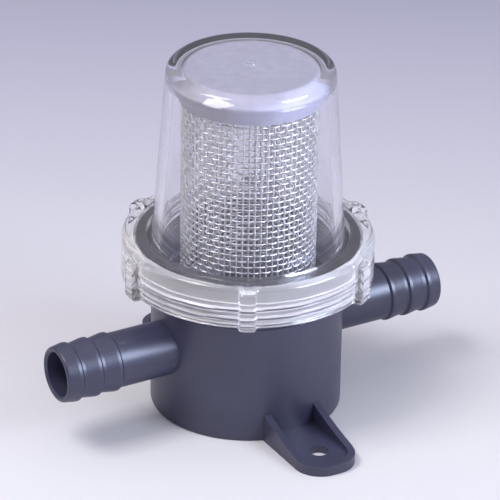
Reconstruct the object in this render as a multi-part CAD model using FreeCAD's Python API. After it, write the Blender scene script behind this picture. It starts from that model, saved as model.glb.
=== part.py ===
"""Sea water strainer: an in-line strainer with a clear screw-down bowl.

Frame: +Z up, +X along the pipe axis towards the outlet, the feet along +Y
and -Y, and the origin at the centre of the underside. Millimetres.
"""
import FreeCAD, Part
import math
import os
from FreeCAD import Vector

ORIGIN = Vector(0, 0, 0)
UP = Vector(0, 0, 1)
ALONG_PIPE = Vector(1, 0, 0)

# Body: one moulding with a cup, a threaded neck, two ports and two feet
body_radius = 32.0
body_wall = 3.5
floor_thickness = 4.0
base_edge_radius = 0.8
shoulder_root_radius = 1.6
shoulder_height = 41.5          # where the wall starts to flare to the neck
shoulder_rise = 4.5
neck_radius = 37.2              # root of the male thread
neck_top = 55.0
neck_bore_radius = 30.0
neck_bore_depth = 9.0
neck_edge = 0.6

# Hose ports
port_height = 26.0
port_length = 71.6              # from the body's axis to the mouth
port_radius = 9.25
port_bore_radius = 7.5
barb_radius = 9.95
barb_count = 3
barb_pitch = 7.2
barb_first = 52.0               # inner edge of the first barb
barb_land = 1.0
barb_back = 0.7                 # axial run of the steep back of a barb
tip_radius = 0.9                # rounding at the mouth
mouth_chamfer = 0.7

# Mounting feet: a tray with raised side gussets
foot_half_width = 10.5
foot_reach = 60.4
foot_corner_radius = 9.0
foot_floor = 2.6
foot_rim_height = 3.5
foot_rim_width = 2.4
gusset_height = 10.4
gusset_mid_height = 6.3
gusset_mid_reach = 40.5
gusset_end_reach = 53.0
screw_hole_radius = 3.2
screw_hole_reach = 48.4

# Inner cup that takes the water from the inlet up into the screen
cup_radius = 25.0
cup_bore_radius = 20.6
cup_top = 40.0
seat_depth = 4.0
seat_clearance = 0.3
duct_wall = 2.5

# Gasket
gasket_inner_radius = 31.0
gasket_thickness = 2.0

# Bowl
flange_radius = 37.3
flange_thickness = 2.5
bowl_radius = 32.0              # at the flange
bowl_top_radius = 27.6          # where the taper would meet the top
bowl_top = 122.0
bowl_wall = 3.0
bowl_corner_radius = 3.2
bowl_inner_corner_radius = 4.0
bowl_root_radius = 1.2
bowl_mouth_edge = 0.6
gate_radius = 1.6
gate_height = 0.4

# Collar
collar_radius = 42.0
collar_bottom = 47.5
collar_bore_radius = 39.2       # root of the female thread
lip_clearance = 0.3             # beyond the bowl's root fillet
collar_lip_thickness = 2.5
collar_corner_radius = 2.2
collar_edge_radius = 0.5
flange_clearance = 0.7
flange_pocket_depth = 1.5       # plain bore below the flange
rib_count = 6
rib_width = 5.4
rib_proud = 3.0
rib_overhang = 0.5              # below the skirt
rib_end_radius = 1.6

# Screen
screen_radius = 22.5
screen_wall = 0.8
wire_proud = 0.45               # height of the weave's ridges on the wall
wire_width = 0.9
upright_count = 18
hoop_count = 14
band_wall = 0.6
band_fit = 0.1                  # between a band and the mesh inside it
band_height = 5.0
band_corner_radius = 2.4
bowl_to_cap = 0.3

flange_bottom = neck_top + gasket_thickness
flange_top = flange_bottom + flange_thickness
collar_top = flange_top + collar_lip_thickness
collar_lip_radius = bowl_radius + bowl_root_radius + lip_clearance
band_radius = screen_radius + band_fit + band_wall
seat_radius = band_radius + seat_clearance
seat_height = cup_top - seat_depth
cap_top = bowl_top - bowl_wall - bowl_to_cap
mesh_bottom = seat_height + band_wall
cap_inner_radius = band_corner_radius - band_wall
mesh_top = cap_top - band_wall - cap_inner_radius


def rounded_wire(corners, place):
    """Closed wire through (u, v, corner radius) corners, set out by place."""
    points = [place(u, v) for u, v, _ in corners]
    count = len(points)
    spans = []
    for index, (_, _, radius) in enumerate(corners):
        here = points[index]
        back = (points[index - 1] - here).normalize()
        ahead = (points[(index + 1) % count] - here).normalize()
        if radius == 0:
            spans.append((here, None, here))
            continue
        half_angle = back.getAngle(ahead) / 2
        reach = radius / math.tan(half_angle)
        middle = (back + ahead).normalize() * (radius / math.sin(half_angle) - radius)
        spans.append((here + back * reach, here + middle, here + ahead * reach))
    edges = []
    for index, (start, middle, end) in enumerate(spans):
        if middle is not None:
            edges.append(Part.Arc(start, middle, end).toShape())
        edges.append(Part.LineSegment(end, spans[(index + 1) % count][0]).toShape())
    return Part.Wire(edges)


def turned(corners):
    """Solid of revolution about Z from (radius, height, corner radius) corners."""
    wire = rounded_wire(corners, lambda r, z: Vector(r, 0, z))
    return Part.Face(wire).revolve(ORIGIN, UP, 360)


def turned_on_pipe(corners):
    """Solid of revolution about the pipe axis from (x, radius, corner radius)."""
    wire = rounded_wire(corners, lambda x, r: Vector(x, 0, port_height + r))
    return Part.Face(wire).revolve(Vector(0, 0, port_height), ALONG_PIPE, 360)


def extruded(corners, place, travel):
    """Prism on a rounded outline, moved along travel."""
    return Part.Face(rounded_wire(corners, place)).extrude(travel)


def pipe_bore(radius, start, end):
    """Cylinder on the pipe axis between two places along X."""
    return Part.makeCylinder(radius, end - start, Vector(start, 0, port_height), ALONG_PIPE)


def opposite(shape):
    """The same shape turned half a turn about Z."""
    copy = shape.copy()
    copy.rotate(ORIGIN, UP, 180)
    return copy


def hose_port():
    """Barbed port along +X, from inside the wall to its mouth."""
    corners = [(body_radius - body_wall, 0, 0), (body_radius - body_wall, port_radius, 0)]
    for index in range(barb_count):
        crest = barb_first + index * barb_pitch
        corners += [(crest - barb_back, port_radius, 0),
                    (crest, barb_radius, 0),
                    (crest + barb_land, barb_radius, 0)]
        if index < barb_count - 1:
            corners.append((crest + barb_pitch - barb_back - barb_land, port_radius, 0))
    corners += [(port_length, port_radius, tip_radius), (port_length, 0, 0)]
    return turned_on_pipe(corners)


def foot_side():
    """Side view of a foot: a gusset that sweeps down to the rim."""
    inner = body_radius - body_wall
    start = Vector(0, inner, gusset_height)
    middle = Vector(0, gusset_mid_reach, gusset_mid_height)
    end = Vector(0, gusset_end_reach, foot_rim_height)
    tip = Vector(0, foot_reach, foot_rim_height)
    heel = Vector(0, inner, 0)
    toe = Vector(0, foot_reach, 0)
    edges = [Part.Arc(start, middle, end).toShape(),
             Part.LineSegment(end, tip).toShape(),
             Part.LineSegment(tip, toe).toShape(),
             Part.LineSegment(toe, heel).toShape(),
             Part.LineSegment(heel, start).toShape()]
    side = Part.Face(Part.Wire(edges)).extrude(Vector(2 * foot_half_width, 0, 0))
    side.translate(Vector(-foot_half_width, 0, 0))
    return side


def foot_plan(inset, bottom, height):
    """Prism on the foot's outline, drawn in by inset."""
    half = foot_half_width - inset
    inner = body_radius - body_wall
    reach = foot_reach - inset
    corner = foot_corner_radius - inset
    corners = [(half, inner, 0), (half, reach, corner), (-half, reach, corner), (-half, inner, 0)]
    return extruded(corners, lambda x, y: Vector(x, y, bottom), Vector(0, 0, height))


def foot():
    """Foot along +Y: floor, rim and gussets."""
    outside = foot_side().common(foot_plan(0, 0, gusset_height))
    return outside.cut(foot_plan(foot_rim_width, foot_floor, gusset_height))


def screw_hole():
    """Cylinder that drills the foot's screw hole."""
    return Part.makeCylinder(screw_hole_radius, foot_rim_height, Vector(0, screw_hole_reach, 0))


def body_outside():
    """Turned outside of the cup and neck."""
    return turned([(0, 0, 0),
                   (body_radius, 0, base_edge_radius),
                   (body_radius, shoulder_height, shoulder_root_radius),
                   (neck_radius, shoulder_height + shoulder_rise, base_edge_radius),
                   (neck_radius, neck_top, neck_edge),
                   (0, neck_top, 0)])


def body_hollow():
    """Space inside the cup and neck."""
    bore = body_radius - body_wall
    step = neck_top - neck_bore_depth
    return turned([(0, floor_thickness, 0),
                   (bore, floor_thickness, base_edge_radius),
                   (bore, step - neck_bore_radius + bore, 0),
                   (neck_bore_radius, step, 0),
                   (neck_bore_radius, neck_top, 0),
                   (0, neck_top, 0)])


def inner_cup():
    """Upright cup on the floor, with a seat for the screen in its rim."""
    return turned([(cup_bore_radius, floor_thickness, 0),
                   (cup_radius, floor_thickness, 0),
                   (cup_radius, cup_top, neck_edge / 2),
                   (seat_radius, cup_top, neck_edge / 2),
                   (seat_radius, seat_height, 0),
                   (cup_bore_radius, seat_height, 0)])


def inlet_bridge():
    """Block that carries the inlet bore across to the inner cup."""
    outer = body_radius - body_wall / 2
    inner = (cup_radius + cup_bore_radius) / 2
    half = port_bore_radius + duct_wall
    top = port_height + half
    block = Part.makeBox(outer - inner, 2 * half, top - floor_thickness,
                         Vector(-outer, -half, floor_thickness))
    return block.common(Part.makeCylinder(outer, top))


def make_body():
    """The body: cup, neck, ports, feet and inner cup in one piece."""
    port = hose_port()
    one_foot = foot()
    outside = body_outside().multiFuse([port, opposite(port), one_foot, opposite(one_foot)])
    shell = outside.cut(body_hollow())
    body = shell.multiFuse([inner_cup(), inlet_bridge()])
    mouth = turned_on_pipe([(port_length - mouth_chamfer, 0, 0),
                            (port_length - mouth_chamfer, port_bore_radius, 0),
                            (port_length, port_bore_radius + mouth_chamfer, 0),
                            (port_length, 0, 0)])
    cup_middle = (cup_radius + cup_bore_radius) / 2
    inlet = pipe_bore(port_bore_radius, -port_length, -cup_bore_radius + body_wall)
    outlet = pipe_bore(port_bore_radius, (body_radius - body_wall + cup_middle) / 2, port_length)
    hole = screw_hole()
    cutters = [inlet, outlet, mouth, opposite(mouth), hole, opposite(hole)]
    for cutter in cutters:
        body = body.cut(cutter)
    return body.removeSplitter()


def make_gasket():
    """Flat ring between the neck and the bowl's flange."""
    return turned([(gasket_inner_radius, neck_top, 0),
                   (flange_radius, neck_top, 0),
                   (flange_radius, flange_bottom, 0),
                   (gasket_inner_radius, flange_bottom, 0)])


def make_bowl():
    """Clear tapered bowl with a flange at its mouth."""
    mouth_radius = bowl_radius - bowl_wall
    inner_top = bowl_top - bowl_wall
    taper = (bowl_radius - bowl_top_radius) / (bowl_top - flange_top)
    inner_top_radius = mouth_radius - taper * (inner_top - flange_top)
    return turned([(0, inner_top, 0),
                   (inner_top_radius, inner_top, bowl_inner_corner_radius),
                   (mouth_radius, flange_top, 0),
                   (mouth_radius, flange_bottom + bowl_mouth_edge, 0),
                   (mouth_radius + bowl_mouth_edge, flange_bottom, 0),
                   (flange_radius, flange_bottom, 0),
                   (flange_radius, flange_top, bowl_mouth_edge),
                   (bowl_radius, flange_top, bowl_root_radius),
                   (bowl_top_radius, bowl_top, bowl_corner_radius),
                   (gate_radius, bowl_top, 0),
                   (gate_radius, bowl_top + gate_height, 0),
                   (0, bowl_top + gate_height, 0)])


def grip_rib():
    """Rib on the collar along +X, with rounded ends."""
    inner = (collar_radius + collar_bore_radius) / 2
    outer = collar_radius + rib_proud
    corners = [(inner, collar_bottom - rib_overhang, 0),
               (outer, collar_bottom - rib_overhang, rib_end_radius),
               (outer, collar_top - collar_corner_radius, rib_end_radius),
               (inner, collar_top - collar_corner_radius / 2, 0)]
    side = extruded(corners, lambda x, z: Vector(x, -rib_width / 2, z), Vector(0, rib_width, 0))
    outer_edges = [edge for edge in side.Edges
                   if edge.BoundBox.XLength < collar_edge_radius
                   and edge.BoundBox.ZLength > rib_width
                   and edge.BoundBox.XMin > collar_radius]
    return side.makeFillet(rib_end_radius, outer_edges)


def make_collar():
    """Clear ring nut that clamps the bowl's flange down."""
    pocket_bottom = flange_bottom - flange_pocket_depth
    ring = turned([(collar_bore_radius, collar_bottom, collar_edge_radius),
                   (collar_radius, collar_bottom, collar_edge_radius),
                   (collar_radius, collar_top, collar_corner_radius),
                   (collar_lip_radius, collar_top, collar_edge_radius),
                   (collar_lip_radius, flange_top, 0),
                   (flange_radius + flange_clearance, flange_top, 0),
                   (flange_radius + flange_clearance, pocket_bottom, 0),
                   (collar_bore_radius, pocket_bottom, 0)])
    ribs = []
    for index in range(rib_count):
        rib = grip_rib()
        rib.rotate(ORIGIN, UP, index * 360 / rib_count)
        ribs.append(rib)
    return ring.multiFuse(ribs).removeSplitter()


def weave_panel(width, height, bottom, angle):
    """Block between two uprights and two hoops, from inside the wall outwards."""
    panel = Part.makeBox(2 * screen_wall, width, height,
                         Vector(screen_radius - 1.5 * screen_wall, -width / 2, bottom))
    panel.rotate(ORIGIN, UP, angle)
    return panel


def make_screen_mesh():
    """Mesh tube: a wall that carries the weave as upright and hoop ridges."""
    first = mesh_bottom + band_height
    hoop_pitch = (mesh_top - band_height - first) / (hoop_count - 1)
    wall_radius = screen_radius - wire_proud
    width = 2 * wall_radius * math.sin(math.pi / upright_count) - wire_width
    panels = []
    for row in range(hoop_count - 1):
        bottom = first + row * hoop_pitch + wire_width / 2
        for column in range(upright_count):
            angle = (column + 0.5) * 360 / upright_count
            panels.append(weave_panel(width, hoop_pitch - wire_width, bottom, angle))
    recesses = Part.makeCompound(panels).cut(Part.makeCylinder(wall_radius, mesh_top))
    tube = turned([(screen_radius - screen_wall, mesh_bottom, 0), (screen_radius, mesh_bottom, 0),
                   (screen_radius, mesh_top, 0), (screen_radius - screen_wall, mesh_top, 0)])
    return tube.cut(recesses)


def make_screen_cap():
    """Pressed cap over the top of the mesh tube."""
    inner = screen_radius + band_fit
    return turned([(0, cap_top - band_wall, 0),
                   (inner, cap_top - band_wall, cap_inner_radius),
                   (inner, mesh_top - band_height, 0),
                   (band_radius, mesh_top - band_height, 0),
                   (band_radius, cap_top, band_corner_radius),
                   (0, cap_top, 0)])


def make_screen_ring():
    """Channel-shaped ring that binds the foot of the mesh tube."""
    inner = screen_radius - screen_wall - band_fit
    top = mesh_bottom + band_height
    return turned([(inner - band_wall, seat_height, 0),
                   (band_radius, seat_height, band_wall / 2),
                   (band_radius, top, 0),
                   (band_radius - band_wall, top, 0),
                   (band_radius - band_wall, mesh_bottom, 0),
                   (inner, mesh_bottom, 0),
                   (inner, top, 0),
                   (inner - band_wall, top, 0)])


def main():
    """Write one STEP file for each piece."""
    makers = {
        "body": make_body,
        "gasket": make_gasket,
        "bowl": make_bowl,
        "collar": make_collar,
        "screen_mesh": make_screen_mesh,
        "screen_cap": make_screen_cap,
        "screen_ring": make_screen_ring,
    }
    os.makedirs("parts", exist_ok=True)
    for name, make in makers.items():
        shape = make()
        shape.exportStep(os.path.join("parts", name + ".step"))
        box = shape.BoundBox
        print(f"{name}: {len(shape.Solids)} solid, valid {shape.isValid()}, {shape.Volume:.0f} mm3, "
              f"z {box.ZMin:.2f} to {box.ZMax:.2f}")


main()
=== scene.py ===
"""Looks of the sea water strainer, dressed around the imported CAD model. Metres."""

import math

import bpy
from mathutils import Matrix, Vector


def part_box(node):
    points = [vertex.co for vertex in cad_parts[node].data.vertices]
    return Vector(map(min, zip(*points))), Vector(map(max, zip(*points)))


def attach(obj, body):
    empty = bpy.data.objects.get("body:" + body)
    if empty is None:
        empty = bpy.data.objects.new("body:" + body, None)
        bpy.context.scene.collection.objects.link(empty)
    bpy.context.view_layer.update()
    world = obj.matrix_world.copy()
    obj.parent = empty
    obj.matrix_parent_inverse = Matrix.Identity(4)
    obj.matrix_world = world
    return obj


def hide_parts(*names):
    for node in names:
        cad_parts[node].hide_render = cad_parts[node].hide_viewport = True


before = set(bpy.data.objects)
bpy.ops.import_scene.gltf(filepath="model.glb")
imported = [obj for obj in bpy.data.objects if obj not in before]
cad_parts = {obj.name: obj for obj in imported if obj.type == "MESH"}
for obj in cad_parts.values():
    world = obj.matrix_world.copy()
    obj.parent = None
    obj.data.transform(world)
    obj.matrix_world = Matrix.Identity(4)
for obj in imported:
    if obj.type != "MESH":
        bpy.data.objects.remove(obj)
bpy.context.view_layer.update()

MM = 0.001

# Camera, aimed at a point on the bowl's axis
AIM = Vector((0, 0, 0.060))
VIEW_AZIMUTH = math.radians(-30.4)
VIEW_ELEVATION = math.radians(26.92)
VIEW_DISTANCE = 1.2
VIEW_ROLL = math.radians(1.08)
LENS_MM = 261.5
SENSOR_MM = 36.0
SHIFT = (0.0037, -0.0295)

# Collar, drawn again here with its thread
PITCH = 3.2 * MM
THREAD_DEPTH = 1.3 * MM
THREAD_BASE = 2.6 * MM
THREAD_CREST = 1.2 * MM
COLLAR_RADIUS = 42.0 * MM
COLLAR_BORE = 39.2 * MM
LIP_RADIUS = 33.5 * MM
LIP_THICKNESS = 2.5 * MM
LIP_EDGE = 0.5 * MM
TOP_CORNER = 2.2 * MM
CROWN_RUN = 1.4 * TOP_CORNER     # from the outer wall to where the flat top begins
POCKET_CLEARANCE = 0.7 * MM
POCKET_DEPTH = 1.5 * MM
RIB_COUNT = 6
RIB_HALF_WIDTH = 2.7 * MM
RIB_END_RADIUS = 1.6 * MM
SKIRT_ABOVE_RIBS = 0.5 * MM
HAIRLINE = 0.03 * MM             # between faces that touch, so that both refract

# Neck
NECK_ROOT = 37.2 * MM
NECK_THREAD_START = 47.6 * MM
NECK_THREAD_TURNS = 1.7

# Woven screen
SCREEN_RADIUS = 22.1 * MM
WIRE_RADIUS = 0.29 * MM
WEAVE_DEPTH = 0.27 * MM
WIRE_COUNT = 72
HOOP_SPACING = 2.07 * MM


def linear(red, green, blue):
    """Linear colour of an 8-bit sRGB one."""
    values = []
    for level in (red, green, blue):
        share = level / 255
        values.append(share / 12.92 if share <= 0.04045 else ((share + 0.055) / 1.055) ** 2.4)
    return (*values, 1.0)


# ---------------------------------------------------------------- materials

def new_material(name):
    """Empty node material and its Principled shader."""
    material = bpy.data.materials.new(name)
    material.use_nodes = True
    return material, material.node_tree.nodes, material.node_tree.links


def noise(nodes, links, scale, detail=3.0, roughness=0.5):
    """Noise texture in object space."""
    coordinates = nodes.new("ShaderNodeTexCoord")
    texture = nodes.new("ShaderNodeTexNoise")
    texture.inputs["Scale"].default_value = scale
    texture.inputs["Detail"].default_value = detail
    texture.inputs["Roughness"].default_value = roughness
    links.new(coordinates.outputs["Object"], texture.inputs["Vector"])
    return texture.outputs["Fac"]


def ramp(nodes, links, source, stops):
    """Colour ramp over (position, colour) stops."""
    node = nodes.new("ShaderNodeValToRGB")
    elements = node.color_ramp.elements
    elements[0].position, elements[0].color = stops[0]
    elements[1].position, elements[1].color = stops[-1]
    for position, colour in stops[1:-1]:
        elements.new(position).color = colour
    links.new(source, node.inputs["Fac"])
    return node.outputs["Color"]


def spread(nodes, links, source, low, high):
    """Value mapped from 0..1 to low..high."""
    node = nodes.new("ShaderNodeMapRange")
    node.inputs["To Min"].default_value = low
    node.inputs["To Max"].default_value = high
    links.new(source, node.inputs["Value"])
    return node.outputs["Result"]


def bump(nodes, links, source, shader, distance, strength=1.0):
    """Bump on a shader from a height source."""
    node = nodes.new("ShaderNodeBump")
    node.inputs["Distance"].default_value = distance
    node.inputs["Strength"].default_value = strength
    links.new(source, node.inputs["Height"])
    links.new(node.outputs["Normal"], shader.inputs["Normal"])


def moulded_plastic():
    """Blue-grey satin plastic of the body."""
    material, nodes, links = new_material("moulded_plastic")
    shader = nodes["Principled BSDF"]
    cloud = noise(nodes, links, 45.0)
    grain = noise(nodes, links, 1600.0, 2.0)
    colour = ramp(nodes, links, cloud, [(0.3, linear(56, 56, 78)), (0.7, linear(64, 64, 90))])
    links.new(colour, shader.inputs["Base Color"])
    links.new(spread(nodes, links, cloud, 0.34, 0.42), shader.inputs["Roughness"])
    shader.inputs["Specular IOR Level"].default_value = 0.65
    bump(nodes, links, grain, shader, 0.00008, 0.5)
    return material


def gasket_rubber():
    """Dark rubber with a faint bloom."""
    material, nodes, links = new_material("gasket_rubber")
    shader = nodes["Principled BSDF"]
    cloud = noise(nodes, links, 220.0)
    colour = ramp(nodes, links, cloud, [(0.3, linear(30, 30, 42)), (0.7, linear(40, 39, 52))])
    links.new(colour, shader.inputs["Base Color"])
    links.new(spread(nodes, links, cloud, 0.6, 0.75), shader.inputs["Roughness"])
    bump(nodes, links, noise(nodes, links, 2500.0), shader, 0.00005, 0.4)
    return material


def clear_plastic(name, roughness, ripple, clarity, tint):
    """Clear plastic that lets lamps through to what it covers."""
    material, nodes, links = new_material(name)
    shader = nodes["Principled BSDF"]
    shader.inputs["Base Color"].default_value = tint
    shader.inputs["Transmission Weight"].default_value = clarity
    shader.inputs["IOR"].default_value = 1.49
    cloud = noise(nodes, links, 60.0)
    links.new(spread(nodes, links, cloud, roughness, roughness * 2), shader.inputs["Roughness"])
    bump(nodes, links, noise(nodes, links, 90.0, 1.0), shader, ripple, 0.5)
    path = nodes.new("ShaderNodeLightPath")
    window = nodes.new("ShaderNodeBsdfTransparent")
    mix = nodes.new("ShaderNodeMixShader")
    links.new(path.outputs["Is Shadow Ray"], mix.inputs["Fac"])
    links.new(shader.outputs["BSDF"], mix.inputs[1])
    links.new(window.outputs["BSDF"], mix.inputs[2])
    links.new(mix.outputs["Shader"], nodes["Material Output"].inputs["Surface"])
    return material


def steel(name, low, high, roughness):
    """Stainless steel with fine variation."""
    material, nodes, links = new_material(name)
    shader = nodes["Principled BSDF"]
    shader.inputs["Metallic"].default_value = 1.0
    cloud = noise(nodes, links, 400.0)
    links.new(ramp(nodes, links, cloud, [(0.3, low), (0.7, high)]), shader.inputs["Base Color"])
    links.new(spread(nodes, links, cloud, roughness, roughness + 0.12), shader.inputs["Roughness"])
    bump(nodes, links, noise(nodes, links, 3000.0), shader, 0.00002, 0.4)
    return material


# ------------------------------------------------------------------- meshes

def rounded(corners, steps=6):
    """Points of a closed outline of (r, z, corner radius) corners, arcs sampled evenly."""
    points = []
    count = len(corners)
    for index, (r, z, radius) in enumerate(corners):
        here = Vector((r, z))
        if radius == 0:
            points.append(here)
            continue
        back = (Vector(corners[index - 1][:2]) - here).normalized()
        ahead = (Vector(corners[(index + 1) % count][:2]) - here).normalized()
        half_angle = back.angle(ahead) / 2
        centre = here + (back + ahead).normalized() * radius / math.sin(half_angle)
        start = here + back * radius / math.tan(half_angle) - centre
        end = here + ahead * radius / math.tan(half_angle) - centre
        for step in range(steps + 1):
            share = step / steps
            direction = start.lerp(end, share).normalized()
            points.append(centre + direction * radius)
    return points


def mesh_piece(name, vertices, faces, material, sharp_degrees=40):
    """Object from plain vertices and faces, smooth except at sharp edges."""
    mesh = bpy.data.meshes.new(name)
    mesh.from_pydata(vertices, [], faces)
    mesh.shade_smooth()
    mesh.set_sharp_from_angle(angle=math.radians(sharp_degrees))
    mesh.materials.append(material)
    piece = bpy.data.objects.new(name, mesh)
    bpy.context.scene.collection.objects.link(piece)
    return piece


def grid_faces(rows, columns, close_rows, close_columns, start=0):
    """Quads between neighbouring rows and columns of a vertex grid."""
    faces = []
    for row in range(rows if close_rows else rows - 1):
        for column in range(columns if close_columns else columns - 1):
            next_row = (row + 1) % rows
            next_column = (column + 1) % columns
            faces.append((start + row * columns + column,
                          start + row * columns + next_column,
                          start + next_row * columns + next_column,
                          start + next_row * columns + column))
    return faces


def ridge(phase):
    """Height share of a thread ridge at an axial distance from its middle."""
    return min(1.0, max(0.0, (THREAD_BASE / 2 - abs(phase)) / ((THREAD_BASE - THREAD_CREST) / 2)))


def around(radius, angle, height):
    """Point at a radius, angle and height about the bowl's axis."""
    return (radius * math.cos(angle), radius * math.sin(angle), height)


def rib_angles(inner_radius):
    """Angles round the collar with each one's share of rib, dense at the ribs' sides."""
    side = [(-1.30, 0.0), (-1.12, 0.10), (-1.02, 0.45), (-0.94, 0.80), (-0.80, 0.97), (-0.45, 1.0)]
    side += [(0.0, 1.0)] + [(-offset, share) for offset, share in reversed(side)]
    spacing = math.tau / RIB_COUNT
    width = RIB_HALF_WIDTH / inner_radius
    fill = 34
    clear_start = side[-1][0] * width
    clear_end = spacing + side[0][0] * width
    angles = []
    for index in range(RIB_COUNT):
        base = index * spacing
        angles += [(base + offset * width, share) for offset, share in side]
        for step in range(1, fill):
            angles.append((base + clear_start + (clear_end - clear_start) * step / fill, 0.0))
    return angles


def make_collar(lip_material, skirt_material, thread_reflection_material):
    """Clear ring nut with grip ribs outside and a thread inside; the thread crests carry a painted
    reflection.
    """
    low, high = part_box("collar")
    bottom = low.z + SKIRT_ABOVE_RIBS
    top = high.z
    flange_top = top - LIP_THICKNESS + HAIRLINE
    pocket_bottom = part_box("bowl")[0].z - POCKET_DEPTH
    pocket_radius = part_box("gasket")[1].x + POCKET_CLEARANCE
    inside = [(LIP_RADIUS, top, LIP_EDGE), (LIP_RADIUS, flange_top, 0),
              (pocket_radius, flange_top, 0), (pocket_radius, pocket_bottom, 0)]
    crown = (COLLAR_RADIUS - CROWN_RUN, top, 0)
    ring = rounded([(COLLAR_BORE, bottom, LIP_EDGE), (COLLAR_RADIUS, bottom, LIP_EDGE),
                    (COLLAR_RADIUS, top, TOP_CORNER), crown] + inside)
    rib_radius = high.x
    ribbed = rounded([(COLLAR_BORE, bottom, LIP_EDGE), (rib_radius, low.z, RIB_END_RADIUS),
                      (rib_radius, top - TOP_CORNER / 2, RIB_END_RADIUS), crown] + inside)
    thread_top = pocket_bottom
    thread_bottom = bottom + LIP_EDGE
    thread_rows = 38
    fade = 0.5 * MM
    angles = rib_angles(COLLAR_RADIUS)
    vertices = []
    for plain, proud in zip(ring, ribbed):
        for angle, share in angles:
            r, z = plain.lerp(proud, share)
            vertices.append(around(r, angle, z))
    for row in range(thread_rows):
        z = thread_top - (thread_top - thread_bottom) * row / (thread_rows - 1)
        edge = min(1.0, (thread_top - z) / fade, (z - thread_bottom) / fade)
        for angle, _ in angles:
            turn = angle / math.tau * PITCH
            phase = (z - NECK_THREAD_START - turn) % PITCH - PITCH / 2
            vertices.append(around(COLLAR_BORE - THREAD_DEPTH * ridge(phase) * edge, angle, z))
    rows = len(ring) + thread_rows
    faces = grid_faces(rows, len(angles), True, True)
    collar = mesh_piece("clear_collar", vertices, faces, lip_material)
    collar.data.materials.append(skirt_material)
    collar.data.materials.append(thread_reflection_material)
    heights = [corner.y for corner in ring]
    lip_row = heights.index(max(heights)) - 4
    pocket_row = len(ring) - 2
    groove = COLLAR_BORE - THREAD_DEPTH * 0.25
    # Thread crests get the warm white haze, a painted reflection of light caught at the thread
    # flanks; the grooves get the clearer skirt plastic.
    for index, face in enumerate(collar.data.polygons):
        row = index // len(angles)
        inmost = min(math.hypot(*vertices[corner][:2]) for corner in face.vertices)
        if row >= pocket_row and inmost < groove:
            face.material_index = 2
        elif row < lip_row or row >= len(ring):
            face.material_index = 1
    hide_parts("collar")
    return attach(collar, "collar")


def make_neck_thread(material):
    """Male thread on the neck: a ridge wound round it, fading at both ends."""
    steps_per_turn = 180
    steps = int(NECK_THREAD_TURNS * steps_per_turn)
    fade_steps = steps_per_turn // 12
    sunk = 0.1 * MM
    vertices = []
    for step in range(steps + 1):
        angle = math.tau * step / steps_per_turn
        middle = NECK_THREAD_START + PITCH * step / steps_per_turn
        swell = max(0.02, min(1.0, step / fade_steps, (steps - step) / fade_steps))
        crest = NECK_ROOT + THREAD_DEPTH * swell
        for radius, offset in ((NECK_ROOT - sunk, -THREAD_BASE / 2), (crest, -THREAD_CREST / 2),
                               (crest, THREAD_CREST / 2), (NECK_ROOT - sunk, THREAD_BASE / 2)):
            vertices.append(around(radius, angle, middle + offset))
    faces = [tuple(reversed(face)) for face in grid_faces(steps + 1, 4, False, True)]
    faces += [(0, 1, 2, 3), tuple(4 * steps + index for index in (3, 2, 1, 0))]
    thread = mesh_piece("neck_thread", vertices, faces, material, 30)
    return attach(thread, "root")


def wire(path, closed, vertices, faces, sides=6):
    """Adds a round wire along (point, outward direction, along direction) stations."""
    start = len(vertices)
    for point, outward, along in path:
        sideways = along.cross(outward).normalized()
        for side in range(sides):
            angle = math.tau * side / sides
            across = math.cos(angle) * outward + math.sin(angle) * sideways
            vertices.append(point + WIRE_RADIUS * across)
    faces += grid_faces(len(path), sides, closed, True, start)
    if not closed:
        last = start + (len(path) - 1) * sides
        faces.append(tuple(start + side for side in reversed(range(sides))))
        faces.append(tuple(last + side for side in range(sides)))


def make_screen(material):
    """Woven wire tube: upright wires and hoops that pass over and under each other."""
    low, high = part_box("screen_mesh")
    hoop_count = round((high.z - low.z) / HOOP_SPACING)
    spacing = (high.z - low.z - 2 * WIRE_RADIUS) / (hoop_count - 1)
    bottom = low.z + WIRE_RADIUS
    vertices, faces = [], []
    halves = 2
    for column in range(WIRE_COUNT):
        angle = math.tau * column / WIRE_COUNT
        outward = Vector((math.cos(angle), math.sin(angle), 0))
        path = []
        for step in range((hoop_count - 1) * halves + 1):
            wave = math.cos(math.pi * (step / halves + column))
            radius = SCREEN_RADIUS + WEAVE_DEPTH * wave
            point = outward * radius + Vector((0, 0, bottom + spacing * step / halves))
            path.append((point, outward, Vector((0, 0, 1))))
        wire(path, False, vertices, faces)
    for hoop in range(hoop_count):
        path = []
        for step in range(WIRE_COUNT * halves):
            angle = math.tau * step / (WIRE_COUNT * halves)
            outward = Vector((math.cos(angle), math.sin(angle), 0))
            wave = -math.cos(math.pi * (step / halves + hoop))
            radius = SCREEN_RADIUS + WEAVE_DEPTH * wave
            point = outward * radius + Vector((0, 0, bottom + spacing * hoop))
            path.append((point, outward, Vector((-outward.y, outward.x, 0))))
        wire(path, True, vertices, faces)
    screen = mesh_piece("woven_screen", vertices, faces, material, 80)
    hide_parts("screen_mesh")
    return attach(screen, "screen")


def dress(node, material):
    """Gives a CAD node a material in all its slots."""
    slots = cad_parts[node].data.materials
    for index in range(len(slots)):
        slots[index] = material


# -------------------------------------------------------------------- stage

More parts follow.
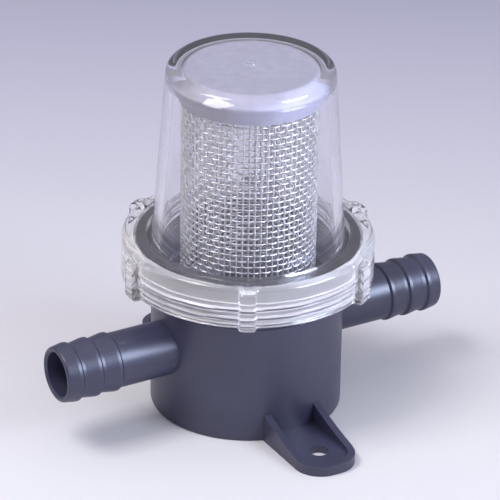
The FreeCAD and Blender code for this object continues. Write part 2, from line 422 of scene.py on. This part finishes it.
def make_floor():
    """Pale studio floor with painted shade: its colour darkens away from the camera."""
    half = 4.0
    mesh = bpy.data.meshes.new("floor")
    corners = [(-half, -half, 0), (half, -half, 0), (half, half, 0), (-half, half, 0)]
    mesh.from_pydata(corners, [], [(0, 1, 2, 3)])
    floor = bpy.data.objects.new("floor", mesh)
    bpy.context.scene.collection.objects.link(floor)
    material, nodes, links = new_material("floor")
    shader = nodes["Principled BSDF"]
    shader.inputs["Roughness"].default_value = 0.9
    shader.inputs["Specular IOR Level"].default_value = 0.1
    place = nodes.new("ShaderNodeTexCoord")
    away = nodes.new("ShaderNodeVectorMath")
    away.operation = "DOT_PRODUCT"
    away.inputs[1].default_value = (-math.sin(VIEW_AZIMUTH), math.cos(VIEW_AZIMUTH), 0)
    links.new(place.outputs["Object"], away.inputs[0])
    reach = nodes.new("ShaderNodeMapRange")
    near, far = -0.06, 0.36
    reach.inputs["From Min"].default_value = near
    reach.inputs["From Max"].default_value = far
    links.new(away.outputs["Value"], reach.inputs["Value"])
    # Painted shade: these tones darken with distance from the camera, in place of the lamps' light
    # falling off across the floor.
    painted_shade_tones = [(-0.06, (230, 228, 232)), (0.0, (226, 224, 227)), (0.05, (220, 217, 222)),
             (0.126, (208, 207, 215)), (0.19, (199, 197, 209)), (0.285, (183, 181, 198)),
             (0.36, (168, 167, 185))]
    stops = [((reached - near) / (far - near), linear(*tone)) for reached, tone in painted_shade_tones]
    links.new(ramp(nodes, links, reach.outputs["Result"], stops), shader.inputs["Base Color"])
    mesh.materials.append(material)


def make_world():
    """Soft surroundings, brighter overhead than at the horizon."""
    world = bpy.data.worlds.new("studio")
    bpy.context.scene.world = world
    world.use_nodes = True
    nodes, links = world.node_tree.nodes, world.node_tree.links
    direction = nodes.new("ShaderNodeTexCoord")
    split = nodes.new("ShaderNodeSeparateXYZ")
    links.new(direction.outputs["Generated"], split.inputs["Vector"])
    sky = ramp(nodes, links, split.outputs["Z"],
               [(0.0, linear(150, 148, 161)), (0.3, linear(160, 158, 172)),
                (0.55, linear(172, 171, 183)), (0.75, linear(226, 226, 236)),
                (1.0, linear(240, 240, 250))])
    links.new(sky, nodes["Background"].inputs["Color"])
    nodes["Background"].inputs["Strength"].default_value = 0.88


def softbox(name, direction, distance, size, watts, colour):
    """Area lamp that looks at the object from a direction in the camera's own terms."""
    lamp = bpy.data.lights.new(name, "AREA")
    lamp.shape = "RECTANGLE"
    lamp.size, lamp.size_y = size
    lamp.energy = watts
    lamp.color = colour
    right = Vector((math.cos(VIEW_AZIMUTH), math.sin(VIEW_AZIMUTH), 0))
    towards_camera = Vector((math.sin(VIEW_AZIMUTH), -math.cos(VIEW_AZIMUTH), 0))
    across, near, up = direction
    aim = (right * across + towards_camera * near + Vector((0, 0, up))).normalized()
    holder = bpy.data.objects.new(name, lamp)
    bpy.context.scene.collection.objects.link(holder)
    holder.location = AIM + aim * distance
    holder.rotation_euler = aim.to_track_quat("Z", "Y").to_euler()
    return holder


def make_lights():
    """Soft key from the left, a bluer fill from the right, and a card that only gloss sees."""
    softbox("key", (-0.65, 0.2, 1.15), 1.6, (0.65, 0.65), 12.5, (1.0, 0.99, 0.98))
    softbox("fill", (0.85, 0.5, 0.6), 1.6, (0.8, 0.8), 11, (0.78, 0.86, 1.0))
    card = softbox("card", (0.75, 0.35, 0.45), 0.9, (0.55, 0.3), 10, (0.60, 0.70, 1.0))
    card.visible_diffuse = False


def make_camera():
    """Camera at the catalogue view of the strainer."""
    data = bpy.data.cameras.new("camera")
    data.sensor_width = SENSOR_MM
    data.lens = LENS_MM
    data.shift_x, data.shift_y = SHIFT
    camera = bpy.data.objects.new("camera", data)
    bpy.context.scene.collection.objects.link(camera)
    back = Vector((math.sin(VIEW_AZIMUTH) * math.cos(VIEW_ELEVATION),
                   -math.cos(VIEW_AZIMUTH) * math.cos(VIEW_ELEVATION), math.sin(VIEW_ELEVATION)))
    turn = back.to_track_quat("Z", "Y").to_matrix().to_4x4() @ Matrix.Rotation(VIEW_ROLL, 4, "Z")
    camera.matrix_world = Matrix.Translation(AIM + back * VIEW_DISTANCE) @ turn
    bpy.context.scene.camera = camera


bpy.context.scene.view_settings.view_transform = "Standard"
plastic = moulded_plastic()
# The bowl's faint white haze is partly the plastic's own and partly painted light, paling the
# screen seen through it.
clear_bowl = clear_plastic("clear_bowl", 0.01, 0.00002, 0.975, linear(250, 249, 253))
clear_collar = clear_plastic("clear_collar", 0.02, 0.00003, 1.0, linear(250, 249, 251))
skirt_plastic = clear_plastic("skirt_plastic", 0.05, 0.00003, 0.985, linear(250, 248, 250))
# Painted reflection: about a third of the thread crests' light is scattered warm white, in place
# of the light the thread flanks reflect inside the clear collar.
thread_reflection_haze = clear_plastic("thread_reflection_haze", 0.12, 0.00003, 0.67, linear(250, 247, 243))
wire_steel = steel("wire_steel", linear(196, 193, 190), linear(224, 221, 219), 0.34)
band_steel = steel("band_steel", linear(154, 151, 160), linear(168, 165, 174), 0.7)
dress("body", plastic)
dress("gasket", gasket_rubber())
dress("bowl", clear_bowl)
dress("screen_cap", band_steel)
dress("screen_ring", band_steel)
make_collar(clear_collar, skirt_plastic, thread_reflection_haze)
make_neck_thread(plastic)
make_screen(wire_steel)
make_floor()
make_world()
make_lights()
make_camera()
